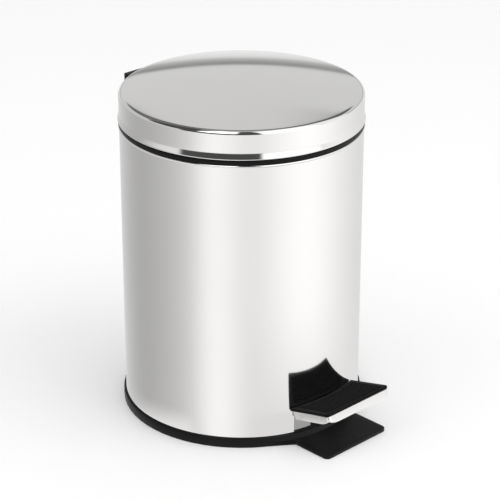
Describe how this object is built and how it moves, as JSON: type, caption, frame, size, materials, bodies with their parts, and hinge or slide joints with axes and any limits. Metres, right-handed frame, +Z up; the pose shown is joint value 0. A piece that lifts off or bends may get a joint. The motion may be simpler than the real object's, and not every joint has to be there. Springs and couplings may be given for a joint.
{
  "type": "pedal trash can",
  "caption": "Round steel pedal bin with a hinged domed lid, a black plastic base with a floor tongue, an inner bucket and a textured foot pedal that lifts the lid.",
  "frame": {"origin": "on the can's axis at floor level, in the flat underside of the base", "axes": "+Z up along the can's axis, the pedal points along -Y and the lid's hinge is at +Y"},
  "size_m": [0.204, 0.2515, 0.2844],
  "materials": {
    "polished_steel": "polished stainless steel sheet",
    "plated_steel": "bright zinc plated steel",
    "pan_steel": "galvanised steel sheet",
    "black_plastic": "black moulded polypropylene, fine spark texture",
    "bucket_plastic": "black moulded polypropylene",
    "white_plastic": "natural acetal, moulded",
    "black_rubber": "black rubber, moulded with a raised grip pattern on the pedal"
  },
  "bodies": {
    "can": {"outer_body": "polished_steel", "rim_ring": "black_plastic", "body_pan": "pan_steel", "pan_bush": "white_plastic", "pan_screw_front_left": "plated_steel", "pan_screw_front_right": "plated_steel", "pan_screw_rear_left": "plated_steel", "pan_screw_rear_right": "plated_steel", "base": "black_plastic", "pedal_axle": "plated_steel", "axle_clip_left": "plated_steel", "axle_clip_right": "plated_steel", "inner_bucket": "bucket_plastic", "hinge_bracket": "black_plastic", "hinge_pin": "plated_steel", "rod_guide": "white_plastic", "bracket_screw_left": "plated_steel", "bracket_screw_right": "plated_steel"},
    "lid": {"lid_shell": "polished_steel", "lid_liner": "black_plastic", "lid_bumper_front": "black_rubber", "lid_bumper_left": "black_rubber", "lid_bumper_right": "black_rubber", "lid_rivet_left": "plated_steel", "lid_rivet_right": "plated_steel", "lid_hinge_block": "black_plastic"},
    "pedal": {"pedal_plate": "polished_steel", "pedal_pad": "black_rubber", "pedal_lever": "plated_steel", "lever_rivet_rear": "plated_steel", "lever_rivet_front": "plated_steel"},
    "push_rod": {"push_rod": "plated_steel", "rod_shoe": "white_plastic", "rod_head": "white_plastic"},
    "bail": {"bucket_handle": "plated_steel"}
  },
  "joints": [
    {"name": "lid_hinge", "type": "hinge", "parent": "can", "child": "lid", "pos_m": [0, 0.108, 0.254], "axis": [-1, 0, 0], "range_deg": [0, 78]},
    {"name": "pedal_hinge", "type": "hinge", "parent": "can", "child": "pedal", "pos_m": [0, -0.02, 0.014], "axis": [1, 0, 0], "range_deg": [0, 11.25]},
    {"name": "rod_slide", "type": "slide", "parent": "can", "child": "push_rod", "axis": [0, 0, 1], "range_m": [0, 0.02265]},
    {"name": "bail_hinge", "type": "hinge", "parent": "can", "child": "bail", "pos_m": [0, 0, 0.23], "axis": [-1, 0, 0], "range_deg": [0, 50]}
  ],
  "couplings": [
    {"joint": "pedal_hinge", "follows": "lid_hinge", "ratio": 0.14359},
    {"joint": "rod_slide", "follows": "lid_hinge", "m_per_rad": 0.016601}
  ]
}
